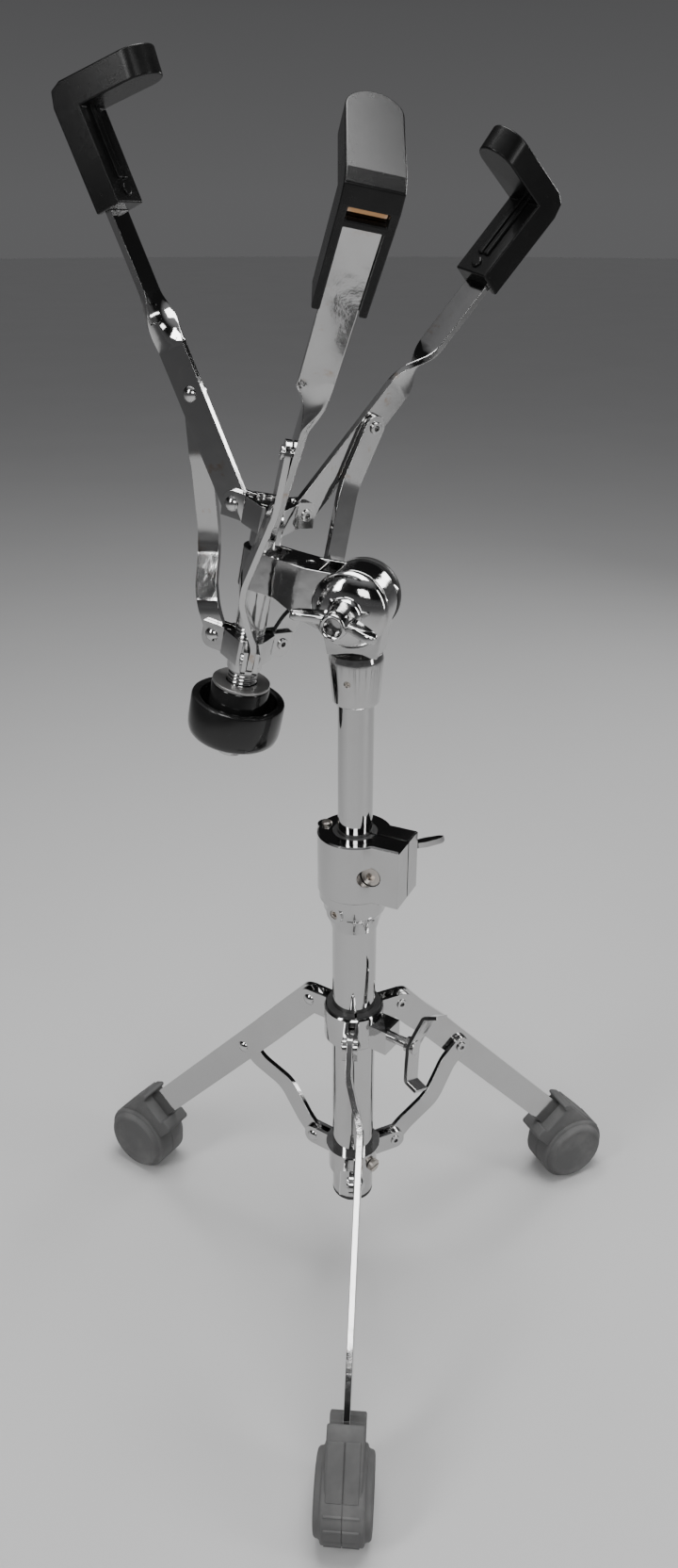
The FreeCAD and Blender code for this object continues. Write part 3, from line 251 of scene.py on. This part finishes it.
FINISH = {
    "chrome_tube": chrome("tube chrome", 0.52, 0.035, 0.10, 0.00006),
    "pressed_chrome": chrome("pressed sheet chrome", 0.52, 0.05, 0.12, 0.00025),
    "cast_chrome": chrome("cast chrome", 0.50, 0.05, 0.13, 0.00045),
    "wing_chrome": chrome("stamped wing chrome", 0.54, 0.06, 0.14, 0.0003),
    "leg_chrome": chrome("leg strap chrome", 0.50, 0.04, 0.14, 0.0002),
    # arm straps: a warm reflection is painted round each bend under the padded finger
    "arm_chrome": chrome("arm strap chrome", 0.50, 0.04, 0.13, 0.0002, TARNISH,
                         [at_arm(azimuth) @ Vector((ARM_CORNER, 0, 1)) for azimuth in ARM_AZIMUTHS]),
    "rivet_chrome": chrome("rivet chrome", 0.55, 0.08, 0.15, 0.0002),
    "threaded_chrome": chrome("rolled thread chrome", 0.52, 0.10, 0.18, 0.0001),
    "zinc_fastener": machined("zinc plate", 0.55, 0.06, 0.22),
    "knob_steel": machined("washer steel", 0.42, 0.01, 0.26),
    "nylon": moulded("bush nylon", grey(0.035), grey(0.11), 0.42, 0.12, 0.00003),
    "cap_plastic": moulded("cap plastic", grey(0.030), grey(0.10), 0.30, 0.12, 0.00003, 0.1, 0.3),
    "knob_plastic": moulded("knob plastic", grey(0.006), grey(0.06), 0.10, 0.12, 0.00001, 0.30, 0.12),
    "end_plug_plastic": moulded("plug plastic", grey(0.02), grey(0.08), 0.45, 0.15, 0.00004),
    "foot_rubber": moulded("foot rubber", grey(0.095), grey(0.19, 0.01), 0.60, 0.16, 0.00010, 0.0, 0.6),
    "grip_rubber": moulded("grip rubber", grey(0.005), grey(0.035), 0.18, 0.14, 0.00003, 0.0, 0.22, 0.22),
}
SLOT = {part["node"]: part["material_slot"] for part in frame["record"]["subparts"]}
BODY = {node: body for body, nodes in frame["record"]["behaviour"]["bodies"].items() for node in nodes}


# ---------------------------------------------------------------- making pieces

def piece(name, bm, node, smooth=35.0, edge=0.0, segments=2):
    """Turns a bmesh into an object that stands for one node and takes that node's finish. Edges
    sharper than smooth degrees stay sharp, or are rounded by edge metres."""
    bmesh.ops.recalc_face_normals(bm, faces=bm.faces)
    for face in bm.faces:
        face.smooth = True
    mesh = bpy.data.meshes.new(name)
    bm.to_mesh(mesh)
    bm.free()
    mesh.set_sharp_from_angle(angle=math.radians(smooth))
    made = bpy.data.objects.new(name, mesh)
    bpy.context.scene.collection.objects.link(made)
    if edge:
        bevel = made.modifiers.new("rounded edges", "BEVEL")
        bevel.width = edge
        bevel.segments = segments
        bevel.limit_method = "ANGLE"
        bevel.angle_limit = math.radians(smooth)
        bevel.harden_normals = True
        bevel.use_clamp_overlap = True
    mesh.materials.append(FINISH[SLOT[node]])
    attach(made, BODY[node])
    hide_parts(node)


def dressed(node, edge, segments=3, smooth=35.0, added=None):
    """The node's own shape with its sharp edges rounded, and with any details added to it."""
    same_point, flat = 0.002 * MM, math.radians(0.5)
    bm = bmesh.new()
    bm.from_mesh(frame["nodes"][node].data)
    bmesh.ops.remove_doubles(bm, verts=bm.verts, dist=same_point)
    bmesh.ops.dissolve_limit(bm, angle_limit=flat, verts=bm.verts, edges=bm.edges, delimit={"NORMAL"})
    if added:
        added(bm)
    piece(node + "_made", bm, node, smooth, edge, segments)


def added_since(bm, known):
    return [vert for vert in bm.verts if vert not in known]


def lathe(bm, profile, place, closed=False, steps=72):
    """Spins an outline of (radius, height) points round Z, then moves the shape to its place."""
    known = set(bm.verts)
    verts = [bm.verts.new((radius, 0, height)) for radius, height in profile]
    pairs = list(zip(verts, verts[1:]))
    if closed:
        pairs.append((verts[-1], verts[0]))
    edges = [bm.edges.new(pair) for pair in pairs]
    bmesh.ops.spin(bm, geom=verts + edges, axis=(0, 0, 1), cent=(0, 0, 0), angle=math.tau, steps=steps,
                   use_merge=True)
    bmesh.ops.remove_doubles(bm, verts=added_since(bm, known), dist=0.001)
    bmesh.ops.transform(bm, matrix=place, verts=added_since(bm, known))


def slab(bm, outline, low, high, place, edge=0.0, segments=3):
    """A plate from Y = low to Y = high whose outline lies in XZ, with rounded edges."""
    known = set(bm.verts)
    face = bm.faces.new([bm.verts.new((x, low, z)) for x, z in outline])
    pushed = bmesh.ops.extrude_face_region(bm, geom=[face])
    moved = [item for item in pushed["geom"] if isinstance(item, bmesh.types.BMVert)]
    bmesh.ops.translate(bm, verts=moved, vec=(0, high - low, 0))
    if edge:
        fresh = set(added_since(bm, known))
        sharp = [item for item in bm.edges if item.verts[0] in fresh
                 and abs(item.calc_face_angle(0)) > math.radians(25)]
        bmesh.ops.bevel(bm, geom=sharp, offset=edge, offset_type="OFFSET", affect="EDGES",
                        segments=segments, profile=0.5, material=-1, clamp_overlap=True)
    bmesh.ops.transform(bm, matrix=place, verts=added_since(bm, known))


def circle(x, z, radius, count):
    angles = [math.tau * i / count for i in range(count)]
    return [(x + radius * math.cos(angle), z + radius * math.sin(angle)) for angle in angles]


# ---------------------------------------------------------------- pieces

def foot(side, azimuth):
    """A rubber foot: a wheel-like body with dished sides, under a block with a raised, parted pad and
    a notch for the strap. Four thin ribs cross the tread, and the sole is cut flat on the floor."""
    place = at_leg(azimuth)
    centre_x, centre_y, centre_z = 230.3, 8.0, -9.0
    tread_radius, rib_radius = 23.8, 0.95
    bm = bmesh.new()
    half = [(0, 14.1), (15.8, 14.1), (16.9, 14.4), (17.8, 15.2), (18.9, 15.5), (20.2, 15.2), (21.1, 14.2),
            (21.3, 12.9), (21.9, 12.0), (23.3, 11.6), (24.0, 10.9), (24.1, 9.8), (24.1, 0.35)]
    wheel = half + [(23.7, 0)] + [(radius, -height) for radius, height in reversed(half)]
    lathe(bm, wheel, place @ shift(centre_x, centre_y, centre_z) @ turn("X", 90), steps=96)
    block = [(192.3, -16.9), (192.3, -10.2), (196.8, -9.5), (196.8, 9.5), (192.3, 10.2), (192.3, 12.4),
             (197.5, 14.5), (230, 14.5), (238, 2), (236, -14), (226, -18.4), (193.8, -18.4)]
    slab(bm, block, centre_y - 10, centre_y + 10, place, 1.3, 3)
    pad = [(199.5, 13.4), (199.5, 15.4), (228.6, 15.4), (228.6, 13.4)]
    for low, high in ((-9.2, -0.15), (0.15, 8.4)):
        slab(bm, pad, centre_y + low, centre_y + high, place, 0.8, 3)
    for elevation in (31.0, 12.0, -11.0, -31.0):
        angle = math.radians(elevation + LEG_BELOW_LEVEL)
        rib = circle(centre_x + tread_radius * math.cos(angle), centre_z + tread_radius * math.sin(angle),
                     rib_radius, 10)
        for low, high in ((-9.6, -0.2), (0.2, 9.2)):
            slab(bm, rib, centre_y + low, centre_y + high, place, 0.25, 2)
    whole = bm.verts[:] + bm.edges[:] + bm.faces[:]
    bmesh.ops.bisect_plane(bm, geom=whole, plane_co=(0, 0, 0), plane_no=(0, 0, 1), dist=1e-7,
                           clear_inner=True)
    bmesh.ops.holes_fill(bm, edges=[edge for edge in bm.edges if edge.is_boundary], sides=0)
    piece("foot_" + side + "_made", bm, "foot_" + side, 40.0)


def grip(side, azimuth):
    """The grip with large soft edges, a doubled rib down its inner face and a small stop below it."""
    place = at_arm(azimuth)

    def ribs(bm):
        sunk, proud = 7.4, 10.4
        upright = [(151, sunk), (151, proud), (183, proud), (183, sunk)]
        for low, high in ((-3.7, -0.3), (0.3, 3.7)):
            slab(bm, upright, low, high, place)
        slab(bm, circle(146.4, 0, 2.8, 20), sunk, proud - 0.2, place @ turn("X", 90))

    dressed("grip_" + side, 1.15 * MM, 4, 30.0, ribs)


def basket_knob():
    """A glossy moulded ring, joined at its foot to a hub."""
    top, rim, base = -62.6, -71.1, -94.1
    outline = [(8.3, top), (14.3, top), (15.2, top - 0.3), (15.6, top - 1.1), (15.6, base + 7.8),
               (16.0, base + 6.6), (17.1, base + 6.0), (19.2, base + 6.0), (20.2, base + 6.5),
               (20.6, base + 7.6), (20.6, rim - 1.3), (20.9, rim - 0.4), (21.7, rim), (23.9, rim),
               (24.8, rim - 0.4), (25.2, rim - 1.4), (25.2, base + 8.5), (24.9, base + 4.9),
               (24.0, base + 2.1), (22.5, base + 0.5), (20.6, base), (8.3, base)]
    bm = bmesh.new()
    lathe(bm, outline, AT_BASKET, closed=True, steps=128)
    piece("basket_knob_made", bm, "basket_knob", 40.0)


def dome_washer():
    """A deep polished dome under the wing nut."""
    bm = bmesh.new()
    outline = [(4.05, 0), (19.3, 0), (19.6, 0.35), (19.6, 1.5), (19.3, 2.5), (18.3, 3.9), (16.6, 5.3),
               (14.2, 6.7), (11.4, 7.8), (8.6, 8.45), (6.0, 8.75), (4.05, 8.8)]
    lathe(bm, outline, AT_TILTER @ shift(0, -TILTER_HALF_WIDTH, 0) @ turn("X", 90), closed=True, steps=128)
    piece("tilter_dome_washer_made", bm, "tilter_dome_washer", 50.0)


def rear_cap():
    """A low dome on the far side of the tilter."""
    bm = bmesh.new()
    outline = [(0, 11.2), (6.5, 11.05), (11.0, 10.5), (14.3, 9.4), (16.8, 7.7), (18.3, 5.6), (18.9, 3.4),
               (19.0, 1.0), (18.7, 0.2), (18.1, 0), (0, 0)]
    lathe(bm, outline, AT_TILTER @ shift(0, TILTER_HALF_WIDTH, 0) @ turn("X", -90), steps=128)
    piece("tilter_rear_cap_made", bm, "tilter_rear_cap", 50.0)


def tilter_wing():
    """A cast wing nut: a thick hollow boss on a skirt, with two leaf-shaped wings."""
    seat, wings_turned = -20.5, 12
    place = AT_TILTER @ shift(0, seat, 0) @ turn("Y", wings_turned) @ turn("X", 90)
    bm = bmesh.new()
    boss = [(4.1, 0.3), (8.3, 0), (8.8, 0.5), (8.8, 1.5), (8.0, 2.3), (7.5, 3.4), (7.1, 8.0), (6.7, 14.0),
            (6.5, 18.6), (6.1, 19.6), (5.4, 20.0), (4.6, 19.7), (4.1, 18.9)]
    lathe(bm, boss, place, closed=True, steps=64)
    leaf = [(4.8, 4.4), (8.2, 4.9), (12.2, 7.6), (16.4, 10.6), (19.8, 13.4), (21.6, 16.2), (21.8, 18.9),
            (20.6, 20.6), (18.2, 21.0), (14.6, 19.8), (10.6, 17.6), (7.4, 16.2), (4.8, 15.8)]
    for half_turn in (0, 180):
        slab(bm, leaf, -2.0, 2.0, place @ turn("Z", half_turn), 1.5, 4)
    piece("tilter_wing_nut_made", bm, "tilter_wing_nut", 40.0)


# Edge rounding in millimetres
ORDINARY_ROUNDING = 0.4
ROUNDING = {"clamp_body": 1.1, "clamp_jaw": 1.1, "clamp_wing_nut": 1.0, "leg_hub": 0.8, "tilter_base": 0.6,
            "tilter_head": 0.9, "leg_wing_bolt": 0.6, "basket_bracket": 0.5, "brace_hub": 0.5,
            "upper_basket_hub": 0.5, "lower_basket_hub": 0.5, "knob_washer": 0.3, "clamp_liner": 0.3}

for side, leg_azimuth, arm_azimuth in zip(SIDES, LEG_AZIMUTHS, ARM_AZIMUTHS):
    foot(side, leg_azimuth)
    grip(side, arm_azimuth)
basket_knob()
dome_washer()
rear_cap()
tilter_wing()
REMADE = {"foot_" + side for side in SIDES} | {"grip_" + side for side in SIDES}
REMADE |= {"basket_knob", "tilter_dome_washer", "tilter_rear_cap", "tilter_wing_nut"}
for node in frame["nodes"]:
    if node not in REMADE:
        dressed(node, ROUNDING.get(node, ORDINARY_ROUNDING) * MM)


# ---------------------------------------------------------------- floor, light and camera

def area_light(name, place, aim, size, power):
    light = bpy.data.lights.new(name, "AREA")
    light.shape = "RECTANGLE"
    light.size, light.size_y = size
    light.energy = power
    made = bpy.data.objects.new(name, light)
    made.location = place
    made.rotation_euler = (Vector(aim) - Vector(place)).to_track_quat("-Z", "Y").to_euler()
    bpy.context.scene.collection.objects.link(made)


def floor_disc():
    bm = bmesh.new()
    bmesh.ops.create_circle(bm, cap_ends=True, segments=96, radius=14.0)
    mesh = bpy.data.meshes.new("floor")
    bm.to_mesh(mesh)
    bm.free()
    floor = bpy.data.objects.new("floor", mesh)
    bpy.context.scene.collection.objects.link(floor)
    paper = Finish("studio floor", Roughness=0.7)
    paper.feed(Base_Color=paper.colour_mix(paper.noise(3, 3), grey(0.56), grey(0.60)))
    mesh.materials.append(paper.material)


def backdrop():
    """Pale paper low down, a dark band for the chrome to mirror, and a bright ceiling."""
    world = bpy.data.worlds.new("studio")
    bpy.context.scene.world = world
    nodes = Nodes(world, "Background")
    direction = nodes.node("ShaderNodeTexCoord", out="Generated")
    height = nodes.node("ShaderNodeSeparateXYZ", None, {0: direction}, "Z")
    levels = ((0.0, 0.26), (0.12, 0.20), (0.24, 0.03), (0.60, 0.03), (0.78, 0.6), (1.0, 0.9))
    stops = [(position, (level, level, level * 1.02, 1)) for position, level in levels]
    nodes.feed(Color=nodes.node("ShaderNodeValToRGB", {"stops": stops}, {0: height}))
    nodes.shader.inputs["Strength"].default_value = 0.45


def lights():
    area_light("overhead", (0.05, 0.05, 1.5), (0, 0, 0.2), (0.9, 0.6), 17)
    area_light("key", (-1.0, -0.8, 1.2), (0, 0, 0.35), (0.3, 0.8), 10)
    area_light("fill", (1.2, -0.5, 0.8), (0, 0, 0.3), (0.2, 1.0), 5)
    area_light("rim", (0.9, 1.1, 0.8), (0, 0, 0.4), (0.5, 0.25), 3.5)
    area_light("front", (0.05, -1.5, 1.05), (0, 0, 0.2), (0.6, 0.45), 6)


def camera():
    above_straight_down = 63.0
    data = bpy.data.cameras.new("camera")
    data.sensor_width = 36.0
    data.lens = 26.585
    made = bpy.data.objects.new("camera", data)
    made.location = (-0.0088, -0.5518, 0.6371)
    made.rotation_euler = (math.radians(above_straight_down), 0, 0)
    bpy.context.scene.collection.objects.link(made)
    bpy.context.scene.camera = made


floor_disc()
backdrop()
lights()
camera()
bpy.context.scene.view_settings.view_transform = "AgX"
